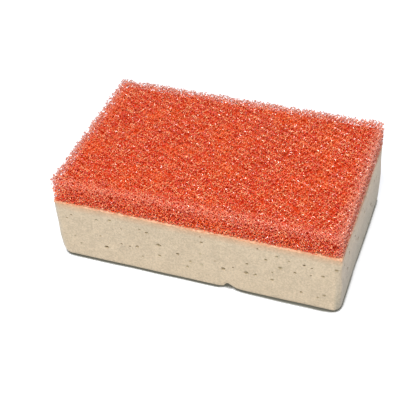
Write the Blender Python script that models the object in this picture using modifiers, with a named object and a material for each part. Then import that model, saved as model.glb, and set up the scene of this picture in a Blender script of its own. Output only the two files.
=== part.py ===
"""Grout sponge: a cream foam block with a coarse open-cell scouring pad glued on top.

Metres, +Z up. The origin is the middle of the footprint, on the surface the sponge rests on.
X runs along the length, Y from the front to the back.
"""

import math
import random

import bmesh
import bpy
from mathutils import Matrix, Vector

# Overall sizes of the scouring pad, which stands a little proud of the block below it
PAD_LENGTH = 0.165
PAD_WIDTH = 0.105
PAD_THICKNESS = 0.0144
PAD_EDGE_WEAR = 0.0004

# Open cells in the skin of the pad: three skin points to a cell, and how far the cells open inward
SKIN_SPACING = 0.0023
CELL_DEPTH = 0.0021
CELL_DEPTH_SPREAD = 0.0005
CELL_EDGE_SLOPE = 0.6
STRUT_DROP = 0.0004
SKIN_ROW_SHIFT = 0.25
SKIN_JITTER = 0.24
SKIN_SEED = 4

# Foam block
PAD_OVERHANG = 0.0006
BLOCK_HEIGHT = 0.0394
FOOT_RADIUS = 0.0045
CORNER_RADIUS = 0.0022
ROUND_SEGMENTS = 5

# Larger pores that the cut has opened in the block's sides
PORE_RADIUS = 0.0011
PORE_RADIUS_SPREAD = 0.0003
PORE_SPACING = 0.021
PORE_EDGE_CLEARANCE = 0.0040
PORE_SCATTER = (0.25, 0.75)
PORE_SINK = 0.3
PORE_STRETCH = (1.3, 1.0, 0.8)
PORE_SEED = 7

# Pores in the front, as shares of its length from the left and of its height
FRONT_PORES = [
    (0.18, 0.33), (0.30, 0.48), (0.38, 0.58), (0.38, 0.38), (0.52, 0.43), (0.49, 0.32), (0.61, 0.41),
    (0.68, 0.43), (0.75, 0.75), (0.79, 0.65), (0.77, 0.38), (0.87, 0.28), (0.94, 0.29),
]

# Glue line between block and pad
GLUE_THICKNESS = 0.0006
GLUE_INSET = 0.0003

# Left between faces that are glued together on the real sponge
SEAM_GAP = 0.0003

# Groove across the width, in the underside: place from the middle, depth and reach of its lips
CROSS_GROOVE_X = 0.0190
CROSS_GROOVE_DEPTH = 0.0055
CROSS_LEFT_LIP = 0.0060
CROSS_RIGHT_LIP = 0.0130

# Groove along the length, in the underside
LONG_GROOVE_Y = -0.0125
LONG_GROOVE_DEPTH = 0.0045
LONG_FRONT_LIP = 0.0190
LONG_BACK_LIP = 0.0040

# How the lips of both grooves curve down to the underside
LIP_POWER = 1.8
LIP_STEPS = 7
CUTTER_SINK = 0.0002
CUTTER_MARGIN = 0.004

# Points closer than this to a face or to each other count as on it or as one
EDGE_TOLERANCE = 0.000001

BLOCK_LENGTH = PAD_LENGTH - 2 * PAD_OVERHANG
BLOCK_WIDTH = PAD_WIDTH - 2 * PAD_OVERHANG
GLUE_BOTTOM = BLOCK_HEIGHT + SEAM_GAP
PAD_BOTTOM = GLUE_BOTTOM + GLUE_THICKNESS + SEAM_GAP


def clear_scene():
    for obj in list(bpy.data.objects):
        bpy.data.objects.remove(obj)


def new_collection(name):
    collection = bpy.data.collections.new(name)
    bpy.context.scene.collection.children.link(collection)
    return collection


def new_material(name, colour, roughness):
    material = bpy.data.materials.new(name)
    material.use_nodes = True
    shader = material.node_tree.nodes["Principled BSDF"]
    shader.inputs["Base Color"].default_value = (*colour, 1.0)
    shader.inputs["Roughness"].default_value = roughness
    shader.inputs["Metallic"].default_value = 0.0
    return material


def place(mesh_maker, name, collection, root, material):
    """Makes the mesh of a bmesh, and the object that shows it under the root empty."""
    mesh = bpy.data.meshes.new(name)
    mesh_maker.to_mesh(mesh)
    mesh_maker.free()
    mesh.materials.append(material)
    obj = bpy.data.objects.new(name, mesh)
    obj.parent = root
    collection.objects.link(obj)
    return obj


def box(length, width, bottom, height):
    """A bmesh box centred on the Z axis, standing on the height called bottom."""
    bm = bmesh.new()
    bmesh.ops.create_cube(bm, size=1.0)
    bmesh.ops.scale(bm, vec=(length, width, height), verts=bm.verts)
    bmesh.ops.translate(bm, vec=(0, 0, bottom + height / 2), verts=bm.verts)
    return bm


def is_vertical(edge):
    first, second = edge.verts
    return abs(first.co.z - second.co.z) > abs(first.co.x - second.co.x) + abs(first.co.y - second.co.y)


def shade(obj):
    obj.data.shade_smooth()
    obj.data.set_sharp_from_angle(angle=math.radians(40))


def lip_points(reach, depth, direction):
    """Points along a groove's lip, from the cusp down to just below the underside."""
    points = []
    for step in range(LIP_STEPS + 1):
        share = step / LIP_STEPS
        height = (depth + CUTTER_SINK) * (1 - share) ** LIP_POWER - CUTTER_SINK
        points.append((direction * reach * share, height))
    return points


def new_cutter(mesh_maker, name, collection):
    """Makes the object of a cutter, which is kept out of renders."""
    mesh = bpy.data.meshes.new(name)
    mesh_maker.to_mesh(mesh)
    mesh_maker.free()
    cutter = bpy.data.objects.new(name, mesh)
    cutter.hide_render = True
    cutter.display_type = "WIRE"
    collection.objects.link(cutter)
    return cutter


def groove_cutter(name, collection, run, depth, near_lip, far_lip):
    """A bar with the groove's section. Its outline is drawn in X and Y and extruded along Z."""
    near = lip_points(near_lip, depth, -1)
    far = lip_points(far_lip, depth, 1)
    foot = [(far_lip, -CUTTER_MARGIN), (-near_lip, -CUTTER_MARGIN)]
    outline = near[::-1] + far[1:] + foot
    bm = bmesh.new()
    face = bm.faces.new([bm.verts.new((x, y, -run / 2)) for x, y in outline])
    grown = bmesh.ops.extrude_face_region(bm, geom=[face])
    moved = [item for item in grown["geom"] if isinstance(item, bmesh.types.BMVert)]
    bmesh.ops.translate(bm, vec=(0, 0, run), verts=moved)
    bmesh.ops.recalc_face_normals(bm, faces=bm.faces)
    return new_cutter(bm, name, collection)


def cut(obj, cutter):
    modifier = obj.modifiers.new(cutter.name, "BOOLEAN")
    modifier.operation = "DIFFERENCE"
    modifier.object = cutter


def front_pores():
    """Places and inward directions of the pores that show in the front face."""
    return [
        (Vector(((share - 0.5) * BLOCK_LENGTH, -BLOCK_WIDTH / 2, height * BLOCK_HEIGHT)), Vector((0, 1, 0)))
        for share, height in FRONT_PORES
    ]


def scattered_pores(chance):
    """The same for the back and both ends, with one pore somewhere in each stretch of wall."""
    low = FOOT_RADIUS + PORE_EDGE_CLEARANCE
    high = BLOCK_HEIGHT - PORE_EDGE_CLEARANCE
    pores = []
    for run, across, quarter_turns in (
        (BLOCK_LENGTH, BLOCK_WIDTH, 2),
        (BLOCK_WIDTH, BLOCK_LENGTH, 1),
        (BLOCK_WIDTH, BLOCK_LENGTH, 3),
    ):
        turn = Matrix.Rotation(quarter_turns * math.pi / 2, 3, "Z")
        usable = run - 2 * PORE_EDGE_CLEARANCE
        count = max(2, round(usable / PORE_SPACING))
        for number in range(count):
            along = (number + chance.uniform(*PORE_SCATTER)) * usable / count - usable / 2
            place = Vector((along, -across / 2, chance.uniform(low, high)))
            pores.append((turn @ place, turn @ Vector((0, 1, 0))))
    return pores


def pore_cutter(collection):
    """Balls drawn out of round and sunk into the block's sides, all in one cutter."""
    chance = random.Random(PORE_SEED)
    bm = bmesh.new()
    for place, inward in front_pores() + scattered_pores(chance):
        radius = PORE_RADIUS + chance.uniform(-1, 1) * PORE_RADIUS_SPREAD
        sink = Matrix.Translation(place + inward * radius * PORE_SINK)
        turn = Matrix.Rotation(chance.uniform(0, math.pi), 4, inward)
        size = Matrix.Diagonal((*(radius * stretch for stretch in PORE_STRETCH), 1))
        bmesh.ops.create_icosphere(bm, subdivisions=1, radius=1, matrix=sink @ turn @ size)
    return new_cutter(bm, "pore_cutter", collection)


def make_block(collection, cutters, root, material):
    """The foam block: crisp upright corners, a rounded foot, two grooves underneath and open pores."""
    bm = box(BLOCK_LENGTH, BLOCK_WIDTH, 0, BLOCK_HEIGHT)
    weights = bm.edges.layers.float.new("bevel_weight_edge")
    for edge in bm.edges:
        if is_vertical(edge):
            edge[weights] = CORNER_RADIUS / FOOT_RADIUS
        elif max(vert.co.z for vert in edge.verts) < BLOCK_HEIGHT / 2:
            edge[weights] = 1.0
    block = place(bm, "sponge_block", collection, root, material)
    rounding = block.modifiers.new("Rounding", "BEVEL")
    rounding.limit_method = "WEIGHT"
    rounding.width = FOOT_RADIUS
    rounding.segments = ROUND_SEGMENTS

    across = groove_cutter(
        "cross_groove_cutter", cutters, BLOCK_WIDTH + 2 * CUTTER_MARGIN,
        CROSS_GROOVE_DEPTH, CROSS_LEFT_LIP, CROSS_RIGHT_LIP,
    )
    across.location = (CROSS_GROOVE_X, 0, 0)
    across.rotation_euler = (math.pi / 2, 0, 0)
    cut(block, across)

    along = groove_cutter(
        "long_groove_cutter", cutters, BLOCK_LENGTH + 2 * CUTTER_MARGIN,
        LONG_GROOVE_DEPTH, LONG_FRONT_LIP, LONG_BACK_LIP,
    )
    along.location = (0, LONG_GROOVE_Y, 0)
    along.rotation_euler = (math.pi / 2, 0, math.pi / 2)
    cut(block, along)
    cut(block, pore_cutter(cutters))
    shade(block)
    return block


def make_glue_line(collection, root, material):
    """The thin pale line of glue that shows all round between block and pad."""
    bm = box(BLOCK_LENGTH - 2 * GLUE_INSET, BLOCK_WIDTH - 2 * GLUE_INSET, GLUE_BOTTOM, GLUE_THICKNESS)
    corners = [edge for edge in bm.edges if is_vertical(edge)]
    bmesh.ops.bevel(
        bm, geom=corners, offset=CORNER_RADIUS, segments=ROUND_SEGMENTS, profile=0.5, affect="EDGES",
    )
    glue = place(bm, "glue_line", collection, root, material)
    shade(glue)
    return glue


def is_cell(row, column):
    """Whether a skin point is the bottom of a cell. Every third one is, and six struts ring it."""
    return (column + 2 * (row % 2)) % 3 == 0


def skin_depth(row, column, from_edge, chance):
    """How far a skin point lies below the face: deep in a cell, less so close to the pad's edges."""
    if not is_cell(row, column):
        return max(0, chance.uniform(-STRUT_DROP, STRUT_DROP))
    depth = CELL_DEPTH + chance.uniform(-1, 1) * CELL_DEPTH_SPREAD
    return min(depth, CELL_EDGE_SLOPE * from_edge)


def add_skin(bm, corner, along, up, chance):
    """Adds one face of the pad as open cells in a honeycomb, with random depths and places.

    Even and odd rows are shifted apart by half a space, so that the triangles between them come
    out nearly equal. The outermost points stay where they are, so that faces meet.
    """
    columns = max(3, round(along.length / SKIN_SPACING))
    rows = max(3, round(up.length / SKIN_SPACING))
    across, rise = along / columns, up / rows
    inward = up.cross(along).normalized()
    points = []
    for row in range(rows + 1):
        line = []
        for column in range(columns + 1):
            point = corner + across * column + rise * row
            if 0 < row < rows and 0 < column < columns:
                from_edge = min(
                    column * across.length, (columns - column) * across.length,
                    row * rise.length, (rows - row) * rise.length,
                )
                shift = SKIN_ROW_SHIFT if row % 2 else -SKIN_ROW_SHIFT
                point += across * (shift + chance.uniform(-SKIN_JITTER, SKIN_JITTER))
                point += rise * chance.uniform(-SKIN_JITTER, SKIN_JITTER)
                point += inward * skin_depth(row, column, from_edge, chance)
            line.append(bm.verts.new(point))
        points.append(line)
    for row in range(rows):
        for column in range(columns):
            a, b = points[row][column], points[row][column + 1]
            d, c = points[row + 1][column], points[row + 1][column + 1]
            for trio in ((a, b, c), (a, c, d)) if row % 2 else ((a, b, d), (b, c, d)):
                bm.faces.new(trio)


def wear_edges(bm):
    """Pulls the points on the pad's upper and upright edges in, where the cut struts have worn off."""
    top = PAD_BOTTOM + PAD_THICKNESS
    for vert in bm.verts:
        sides = Vector((
            math.copysign(1, vert.co.x) if PAD_LENGTH / 2 - abs(vert.co.x) < EDGE_TOLERANCE else 0,
            math.copysign(1, vert.co.y) if PAD_WIDTH / 2 - abs(vert.co.y) < EDGE_TOLERANCE else 0,
            1 if top - vert.co.z < EDGE_TOLERANCE else 0,
        ))
        if sides.length > 1:
            vert.co -= sides * PAD_EDGE_WEAR


def make_pad(collection, root, material):
    """The scouring pad: a slab with open cells in its top and sides, and flat where it is glued."""
    chance = random.Random(SKIN_SEED)
    x, y = PAD_LENGTH / 2, PAD_WIDTH / 2
    length, width, height = Vector((2 * x, 0, 0)), Vector((0, 2 * y, 0)), Vector((0, 0, PAD_THICKNESS))
    bm = bmesh.new()
    add_skin(bm, Vector((-x, -y, PAD_BOTTOM)) + height, length, width, chance)
    add_skin(bm, Vector((-x, -y, PAD_BOTTOM)), length, height, chance)
    add_skin(bm, Vector((x, -y, PAD_BOTTOM)), width, height, chance)
    add_skin(bm, Vector((x, y, PAD_BOTTOM)), -length, height, chance)
    add_skin(bm, Vector((-x, y, PAD_BOTTOM)), -width, height, chance)
    bmesh.ops.remove_doubles(bm, verts=bm.verts, dist=EDGE_TOLERANCE)
    wear_edges(bm)
    bmesh.ops.holes_fill(bm, edges=[edge for edge in bm.edges if edge.is_boundary])
    bmesh.ops.recalc_face_normals(bm, faces=bm.faces)
    pad = place(bm, "scouring_pad", collection, root, material)
    shade(pad)
    return pad


def main():
    clear_scene()
    sponge = new_collection("grout_sponge")
    cutters = new_collection("cutters")
    root = bpy.data.objects.new("grout_sponge_root", None)
    sponge.objects.link(root)
    cream = new_material("cream_foam", (0.67, 0.57, 0.40), 0.9)
    glue = new_material("dried_glue", (0.93, 0.62, 0.40), 0.6)
    red = new_material("red_open_cell_foam", (0.72, 0.07, 0.03), 0.5)
    make_block(sponge, cutters, root, cream)
    make_glue_line(sponge, root, glue)
    make_pad(sponge, root, red)


main()
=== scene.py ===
"""Grout sponge: a cream foam block, a line of glue and a coarse open-cell scouring pad.

Metres, +Z up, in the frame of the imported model: X along the length, Y from the front to the back.
"""

import itertools
import logging
import math
from dataclasses import dataclass
from enum import Enum

import bpy
import numpy as np
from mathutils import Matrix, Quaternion, Vector


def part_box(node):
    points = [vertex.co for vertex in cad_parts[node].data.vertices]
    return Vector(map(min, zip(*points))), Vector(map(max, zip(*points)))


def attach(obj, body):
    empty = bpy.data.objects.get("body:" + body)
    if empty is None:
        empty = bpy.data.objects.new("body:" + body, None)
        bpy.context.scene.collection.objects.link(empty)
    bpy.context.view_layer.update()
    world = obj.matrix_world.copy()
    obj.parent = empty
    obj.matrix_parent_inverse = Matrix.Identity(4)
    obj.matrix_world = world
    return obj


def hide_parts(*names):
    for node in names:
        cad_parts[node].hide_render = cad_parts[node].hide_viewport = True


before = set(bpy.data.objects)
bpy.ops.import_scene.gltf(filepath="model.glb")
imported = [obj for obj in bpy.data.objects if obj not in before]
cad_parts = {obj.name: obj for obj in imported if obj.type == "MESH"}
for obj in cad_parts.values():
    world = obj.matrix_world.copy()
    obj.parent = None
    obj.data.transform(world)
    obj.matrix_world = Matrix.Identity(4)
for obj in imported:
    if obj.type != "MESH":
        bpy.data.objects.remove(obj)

MM = 0.001

# Larger pores in the front face, by radius in millimetres: their places in millimetres from its
# left end and up from the floor
FRONT_PORES = {
    1.15: [(30, 13), (62, 23), (99, 15.5), (131, 25), (112, 16)],
    0.82: [
        (49, 18.5), (34, 34), (62, 15), (80, 15.5), (78, 11), (87, 32), (112.5, 23), (123, 29), (129, 33),
        (144, 31), (139, 24), (154, 25.5), (161, 32), (142.5, 10.5), (155, 11.5), (126.5, 15), (117, 16),
        (73, 19.5), (55.5, 30.5),
    ],
    0.55: [
        (11, 16.5), (14, 11.5), (51.5, 32), (11, 32.5), (8, 29.5), (39.5, 18), (44.5, 17.5), (27, 20.5),
        (26, 32.5), (40.5, 29.5), (51.5, 11.5), (86.5, 36), (86.5, 15), (104.5, 18), (86, 23), (94.5, 20),
        (135.5, 31.5), (148, 30), (151.5, 9), (118.5, 36), (126.5, 20.5), (147.5, 24.5),
    ],
}
BODY = "root"
PORE_DEPTH = "pore_depth"
log = logging.getLogger("grout_sponge")


class Node(Enum):
    """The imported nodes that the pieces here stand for."""

    BLOCK = "sponge_block"
    GLUE = "glue_line"
    PAD = "scouring_pad"


class Slot(Enum):
    """The record's material slots."""

    CREAM = "cream_foam"
    GLUE = "dried_glue"
    RED = "red_open_cell_foam"


def linear(code: str) -> tuple[float, float, float, float]:
    """Turns an sRGB hex colour to linear.

    Args:
        code: Six hex digits, such as "E8D9BC".

    Returns:
        Linear red, green, blue and an alpha of 1.
    """
    shares = (int(code[i : i + 2], 16) / 255 for i in (0, 2, 4))
    channels = (s / 12.92 if s <= 0.04045 else ((s + 0.055) / 1.055) ** 2.4 for s in shares)
    return (*channels, 1.0)


def add_node(
    tree: bpy.types.NodeTree,
    kind: str,
    settings: dict[str | int, object] | None = None,
    links: dict[str | int, bpy.types.NodeSocket] | None = None,
) -> bpy.types.Node:
    """Adds one node with its settings and links.

    Args:
        tree: The material's or world's node tree.
        kind: The node's type name.
        settings: Values by property name, or by input name or number.
        links: Output sockets by the input name or number they feed.

    Returns:
        The new node.
    """
    node = tree.nodes.new(kind)
    for key, value in (settings or {}).items():
        if isinstance(key, int) or key in node.inputs:
            node.inputs[key].default_value = value
        else:
            setattr(node, key, value)
    for key, source in (links or {}).items():
        tree.links.new(source, node.inputs[key])
    return node


def start_material(name: str) -> tuple[bpy.types.Material, bpy.types.NodeTree, bpy.types.NodeSocket]:
    """Makes a material whose node tree holds only the object's own coordinates.

    Args:
        name: The material's name.

    Returns:
        The material, its node tree and the point that is shaded.
    """
    material = bpy.data.materials.new(name)
    material.use_nodes = True
    tree = material.node_tree
    tree.nodes.clear()
    return material, tree, add_node(tree, "ShaderNodeTexCoord").outputs["Object"]


def ramp(
    tree: bpy.types.NodeTree, source: bpy.types.NodeSocket, stops: list[tuple[float, str]],
) -> bpy.types.NodeSocket:
    """Colours a value by a ramp.

    Args:
        tree: The node tree.
        source: The value that drives the ramp.
        stops: Places from 0 to 1 and their sRGB hex colours, in order.

    Returns:
        The ramp's colour output.
    """
    node = add_node(tree, "ShaderNodeValToRGB", links={"Fac": source})
    elements = node.color_ramp.elements
    while len(elements) < len(stops):
        elements.new(1.0)
    for element, (place, code) in zip(elements, stops):
        element.position = place
        element.color = linear(code)
    return node.outputs["Color"]


def add_surface(
    tree: bpy.types.NodeTree, settings: dict[str, float], links: dict[str, bpy.types.NodeSocket],
) -> None:
    """Ends a material with its shader and its output.

    Args:
        tree: The material's node tree.
        settings: The shader's values by input name.
        links: Output sockets by the shader's input name.
    """
    shader = add_node(tree, "ShaderNodeBsdfPrincipled", settings, links)
    add_node(tree, "ShaderNodeOutputMaterial", links={"Surface": shader.outputs["BSDF"]})


@dataclass(frozen=True)
class Layer:
    """A colour laid over another: its share changes as a value runs through a span."""

    value: bpy.types.NodeSocket
    span: tuple[float, float]
    colour: str | bpy.types.NodeSocket
    shares: tuple[float, float] = (0.0, 1.0)


def paint(
    tree: bpy.types.NodeTree, base: bpy.types.NodeSocket, layers: list[Layer], blend: str = "MIX",
) -> bpy.types.NodeSocket:
    """Lays colours over a base, one after another.

    Args:
        tree: The material's node tree.
        base: The colour at the bottom.
        layers: The colours over it, from the bottom up.
        blend: How each joins what lies under it.

    Returns:
        The finished colour.
    """
    for layer in layers:
        limits = dict(zip(("From Min", "From Max", "To Min", "To Max"), (*layer.span, *layer.shares)))
        share = add_node(tree, "ShaderNodeMapRange", limits, {"Value": layer.value})
        settings = {"data_type": "RGBA", "blend_type": blend}
        links = {0: share.outputs["Result"], 6: base}
        if isinstance(layer.colour, str):
            settings[7] = linear(layer.colour)
        else:
            links[7] = layer.colour
        base = add_node(tree, "ShaderNodeMix", settings, links).outputs[2]
    return base


@dataclass(frozen=True)
class CreamFoam:
    """Fine-pored cream polyurethane foam, cut from a block: matt, soft, slightly mottled."""

    seam: float
    end: float
    light: str = "D1BB9A"
    mid: str = "C7B292"
    dark: str = "BDA98A"
    mottle_mm: float = 7.0
    speck_mm: float = 1.1
    speck_share: float = 0.6
    pore_mm: float = 0.85
    pore_depth_mm: float = 0.16
    # A pinker tint just below the seam
    seam_tint: str = "FFE4D6"
    seam_tint_mm: float = 4.5
    # Painted shade deep in the pores
    pore: str = "DDDFD6"
    # Painted shade on the right end: darker and cooler towards its foot, none at the seam
    end_foot_shade: str = "D1DBE1"
    end_middle_shade: str = "EDF1F7"
    end_top: str = "FFFFFF"
    end_margin_mm: float = 2.0
    end_turn_mm: tuple[float, float] = (2.5, 1.0)
    roughness: float = 0.92

    def tone(
        self, tree: bpy.types.NodeTree, place: bpy.types.NodeSocket,
    ) -> bpy.types.NodeSocket:
        """Mottles the foam, warms it below the seam, and darkens its right end towards the foot and its pores
        with painted shade.

        Args:
            tree: The node tree.
            place: The point that is shaded.

        Returns:
            The foam's colour.
        """
        mottle = add_node(
            tree, "ShaderNodeTexNoise",
            {"Scale": 1 / (self.mottle_mm * MM), "Detail": 3.0, "Roughness": 0.6},
            {"Vector": place},
        )
        specks = add_node(
            tree, "ShaderNodeTexNoise", {"Scale": 1 / (self.speck_mm * MM), "Detail": 1.0},
            {"Vector": place},
        )
        mixed = add_node(
            tree, "ShaderNodeMix", {0: self.speck_share},
            {2: mottle.outputs["Fac"], 3: specks.outputs["Fac"]},
        )
        base = ramp(tree, mixed.outputs[0], [(0.38, self.dark), (0.5, self.mid), (0.62, self.light)])
        along, _, height = add_node(tree, "ShaderNodeSeparateXYZ", links={0: place}).outputs
        margin = self.end_margin_mm * MM
        rise = add_node(
            tree, "ShaderNodeMapRange", {"From Min": margin, "From Max": self.seam - margin},
            {"Value": height},
        )
        # Painted shade on the right end, darker and cooler towards the foot
        painted_end_shade = ramp(
            tree, rise.outputs["Result"],
            [(0.0, self.end_foot_shade), (0.55, self.end_middle_shade), (1.0, self.end_top)],
        )
        # How deep in a pore the point lies, which sets the painted shade there
        depth = add_node(tree, "ShaderNodeAttribute", {"attribute_name": PORE_DEPTH})
        on_end = tuple(self.end - inset * MM for inset in self.end_turn_mm)
        return paint(
            tree, base,
            [
                Layer(height, (self.seam - self.seam_tint_mm * MM, self.seam), self.seam_tint),
                Layer(along, on_end, painted_end_shade),
                Layer(depth.outputs["Fac"], (0.0, 1.0), self.pore),
            ],
            "MULTIPLY",
        )

    def material(self) -> bpy.types.Material:
        """Builds the cut foam's material."""
        material, tree, place = start_material("cream_polyurethane_foam")
        cells = add_node(
            tree, "ShaderNodeTexVoronoi", {"Scale": 1 / (self.pore_mm * MM), "Randomness": 1.0},
            {"Vector": place},
        )
        # Open cells cut by the blade: round hollows with thin walls between them, their middles darkened a
        # little as painted shade
        hollow = add_node(
            tree, "ShaderNodeMapRange", {"From Min": 0.15, "From Max": 0.55},
            {"Value": cells.outputs["Distance"]},
        )
        shaded = add_node(
            tree, "ShaderNodeMix", {"data_type": "RGBA", "blend_type": "MULTIPLY", "Factor": 0.10},
            {6: self.tone(tree, place), 7: hollow.outputs["Result"]},
        )
        bump = add_node(
            tree, "ShaderNodeBump", {"Strength": 0.6, "Distance": self.pore_depth_mm * MM},
            {"Height": hollow.outputs["Result"]},
        )
        add_surface(
            tree,
            {
                "Roughness": self.roughness,
                "Specular IOR Level": 0.25,
                "Sheen Weight": 0.22,
                "Sheen Roughness": 0.6,
            },
            {"Base Color": shaded.outputs[2], "Normal": bump.outputs["Normal"]},
        )
        return material


@dataclass(frozen=True)
class DriedGlue:
    """Solvent glue dried between the two foams: a pale peach film, a little tacky and uneven."""

    light: str = "EEBA90"
    dark: str = "DC9C72"
    patch_mm: float = 1.6
    lump_mm: float = 0.15
    roughness: float = 0.55

    def material(self) -> bpy.types.Material:
        """Builds the glue's material."""
        material, tree, place = start_material("dried_foam_glue")
        patches = add_node(
            tree, "ShaderNodeTexNoise", {"Scale": 1 / (self.patch_mm * MM), "Detail": 2.0},
            {"Vector": place},
        )
        tone = ramp(tree, patches.outputs["Fac"], [(0.4, self.dark), (0.6, self.light)])
        bump = add_node(
            tree, "ShaderNodeBump", {"Strength": 0.4, "Distance": self.lump_mm * MM},
            {"Height": patches.outputs["Fac"]},
        )
        add_surface(
            tree, {"Roughness": self.roughness}, {"Base Color": tone, "Normal": bump.outputs["Normal"]},
        )
        return material


@dataclass(frozen=True)
class ReticulatedFoam:
    """Open-cell polyurethane scouring foam: stiff glossy red-orange struts that catch the light."""

    low: tuple[float, float, float]
    high: tuple[float, float, float]
    # The palest tone paints glints on the outer struts
    wear_and_glint: str = "FFCA8C"
    light: str = "FF702A"
    mid: str = "F04100"
    dark: str = "C42000"
    # The tone struts turn further in, painted by depth for the light that reaches them there, with no painted
    # glints
    deep: str = "F24404"
    shallow_mm: float = 0.6
    deep_mm: float = 3.0
    grain_mm: float = 0.55
    cluster_mm: float = 5.0
    cluster_share: float = 0.15
    orange: str = "FF7012"
    orange_share: float = 0.30
    patch_mm: float = 16.0
    # Painted highlight along the top edges
    edge: str = "EE9C7E"
    edge_share: float = 0.45
    edge_mm: float = 8.0
    # Painted sheen, paler and greyer, on the right end and along the tops of the left end and the back
    far_edge: str = "DC9072"
    far_left: str = "C8866C"
    far_share: float = 0.7
    far_mm: float = 6.0
    roughness: float = 0.24

    def depths(
        self, tree: bpy.types.NodeTree, place: bpy.types.NodeSocket,
    ) -> tuple[bpy.types.NodeSocket, bpy.types.NodeSocket, bpy.types.NodeSocket]:
        """Adds nodes for the depths below the top, in from the nearest side, and in from an edge with painted
        sheen.

        Args:
            tree: The node tree.
            place: The point that is shaded.

        Returns:
            The three depths, in metres. The edges with painted sheen are the right end and the top of the
            left end and the back.
        """
        middle = [(a + b) / 2 for a, b in zip(self.low, self.high)]
        half = [(b - a) / 2 for a, b in zip(self.low, self.high)]
        away = add_node(
            tree, "ShaderNodeVectorMath", {"operation": "SUBTRACT", 1: middle}, {0: place},
        )
        size = add_node(
            tree, "ShaderNodeVectorMath", {"operation": "ABSOLUTE"}, {0: away.outputs["Vector"]},
        )
        inward = add_node(
            tree, "ShaderNodeVectorMath", {"operation": "SUBTRACT", 0: half}, {1: size.outputs["Vector"]},
        )
        to_high = add_node(
            tree, "ShaderNodeVectorMath", {"operation": "SUBTRACT", 0: self.high}, {1: place},
        )
        end, side, _ = add_node(tree, "ShaderNodeSeparateXYZ", links={0: inward.outputs["Vector"]}).outputs
        right, back, below = add_node(
            tree, "ShaderNodeSeparateXYZ", links={0: to_high.outputs["Vector"]},
        ).outputs
        beside = add_node(tree, "ShaderNodeMath", {"operation": "MINIMUM"}, {0: end, 1: side})
        sheen_depth = end
        for operation, depth in (("MINIMUM", back), ("MAXIMUM", below), ("MINIMUM", right)):
            sheen_depth = add_node(
                tree, "ShaderNodeMath", {"operation": operation}, {0: sheen_depth, 1: depth},
            ).outputs["Value"]
        return below, beside.outputs["Value"], sheen_depth

    def material(self) -> bpy.types.Material:
        """Builds the struts' material."""
        material, tree, place = start_material("red_reticulated_foam")
        grain, clusters, patches = (
            add_node(
                tree, "ShaderNodeTexNoise", {"Scale": 1 / (size * MM), "Detail": 1.0}, {"Vector": place},
            ).outputs["Fac"]
            for size in (self.grain_mm, self.cluster_mm, self.patch_mm)
        )
        mixed = add_node(tree, "ShaderNodeMix", {0: self.cluster_share}, {2: grain, 3: clusters})
        # Grain and larger clusters colour the outer struts; the palest stop paints glints, more of them in
        # some clusters
        outer = ramp(
            tree, mixed.outputs[0],
            [(0.41, self.dark), (0.5, self.mid), (0.56, self.light), (0.61, self.wear_and_glint)],
        )
        below, beside, sheen_depth = self.depths(tree, place)
        from_edge, nearest = (
            add_node(tree, "ShaderNodeMath", {"operation": operation}, {0: below, 1: beside}).outputs["Value"]
            for operation in ("MAXIMUM", "MINIMUM")
        )
        parts = add_node(tree, "ShaderNodeSeparateXYZ", links={0: place})
        along = add_node(
            tree, "ShaderNodeMapRange", {"From Min": self.low[0], "From Max": self.high[0]},
            {"Value": parts.outputs["X"]},
        )
        # Painted sheen on those far edges, greyer towards the left
        painted_sheen = ramp(tree, along.outputs["Result"], [(0.1, self.far_left), (0.9, self.far_edge)])
        tone = paint(
            tree, outer,
            [
                Layer(patches, (0.5, 0.68), self.orange, (0.0, self.orange_share)),
                # Painted highlight along the top edges, where the rounded edge catches the light
                Layer(from_edge, (0.0, self.edge_mm * MM), self.edge, (self.edge_share, 0.0)),
                Layer(sheen_depth, (0.0, self.far_mm * MM), painted_sheen, (self.far_share, 0.0)),
                # Struts further in fade to one even orange, painted by depth for the light that reaches them
                Layer(nearest, (self.shallow_mm * MM, self.deep_mm * MM), self.deep),
            ],
        )
        add_surface(
            tree,
            {
                "Roughness": self.roughness,
                "Specular IOR Level": 0.5,
                "Coat Weight": 0.62,
                "Coat Roughness": 0.14,
            },
            {"Base Color": tone},
        )
        return material


@dataclass(frozen=True)
class DeepFoam:
    """The same foam further in, where struts close up on each other and little light comes back."""

    strut: str = "F04A18"
    shade: str = "C63208"
    cell_mm: float = 2.3
    strut_lift_mm: float = 0.6
    roughness: float = 0.7

    def material(self) -> bpy.types.Material:
        """Builds the material of the foam behind the outer cells."""
        material, tree, place = start_material("red_foam_depth")
        cells = add_node(
            tree, "ShaderNodeTexVoronoi",
            {"feature": "DISTANCE_TO_EDGE", "Scale": 1 / (self.cell_mm * MM)},
            {"Vector": place},
        )
        strut = add_node(
            tree, "ShaderNodeMapRange",
            {"From Min": 0.02, "From Max": 0.22, "To Min": 1.0, "To Max": 0.0},
            {"Value": cells.outputs["Distance"]},
        )
        tone = ramp(tree, strut.outputs["Result"], [(0.0, self.shade), (1.0, self.strut)])
        bump = add_node(
            tree, "ShaderNodeBump", {"Strength": 1.0, "Distance": self.strut_lift_mm * MM},
            {"Height": strut.outputs["Result"]},
        )
        add_surface(
            tree, {"Roughness": self.roughness, "Specular IOR Level": 0.15},
            {"Base Color": tone, "Normal": bump.outputs["Normal"]},
        )
        return material


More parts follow.
